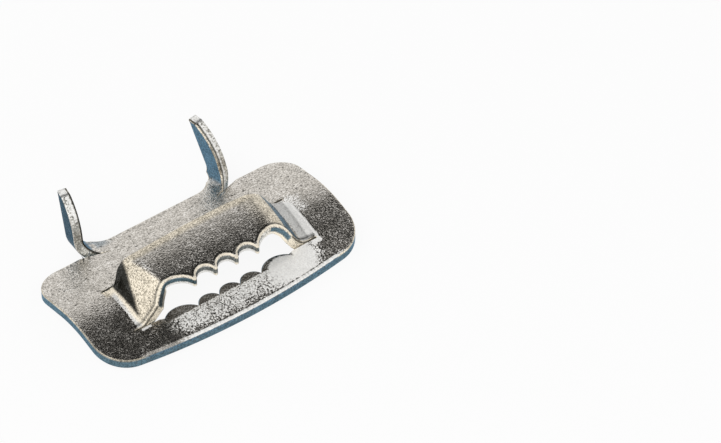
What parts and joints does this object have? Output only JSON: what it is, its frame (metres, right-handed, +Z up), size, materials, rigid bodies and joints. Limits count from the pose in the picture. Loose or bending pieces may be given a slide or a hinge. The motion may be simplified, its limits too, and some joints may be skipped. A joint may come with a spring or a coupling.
{
  "type": "strapping buckle",
  "caption": "Pressed sheet steel buckle for metal strapping band: saddle plate with a raised toothed bridge over a band slot and upright ears that fold over the band.",
  "frame": {"origin": "on the plane of the lowest edges, midway along the plate and under its long bend", "axes": "+X along the plate, +Y from the toothed rail towards the ears, +Z up through the bridge"},
  "size_m": [0.0422, 0.0287, 0.0093],
  "materials": {
    "steel": "tumbled bare steel with a fine grain"
  },
  "bodies": {
    "root": {"buckle": "steel"}
  },
  "joints": []
}
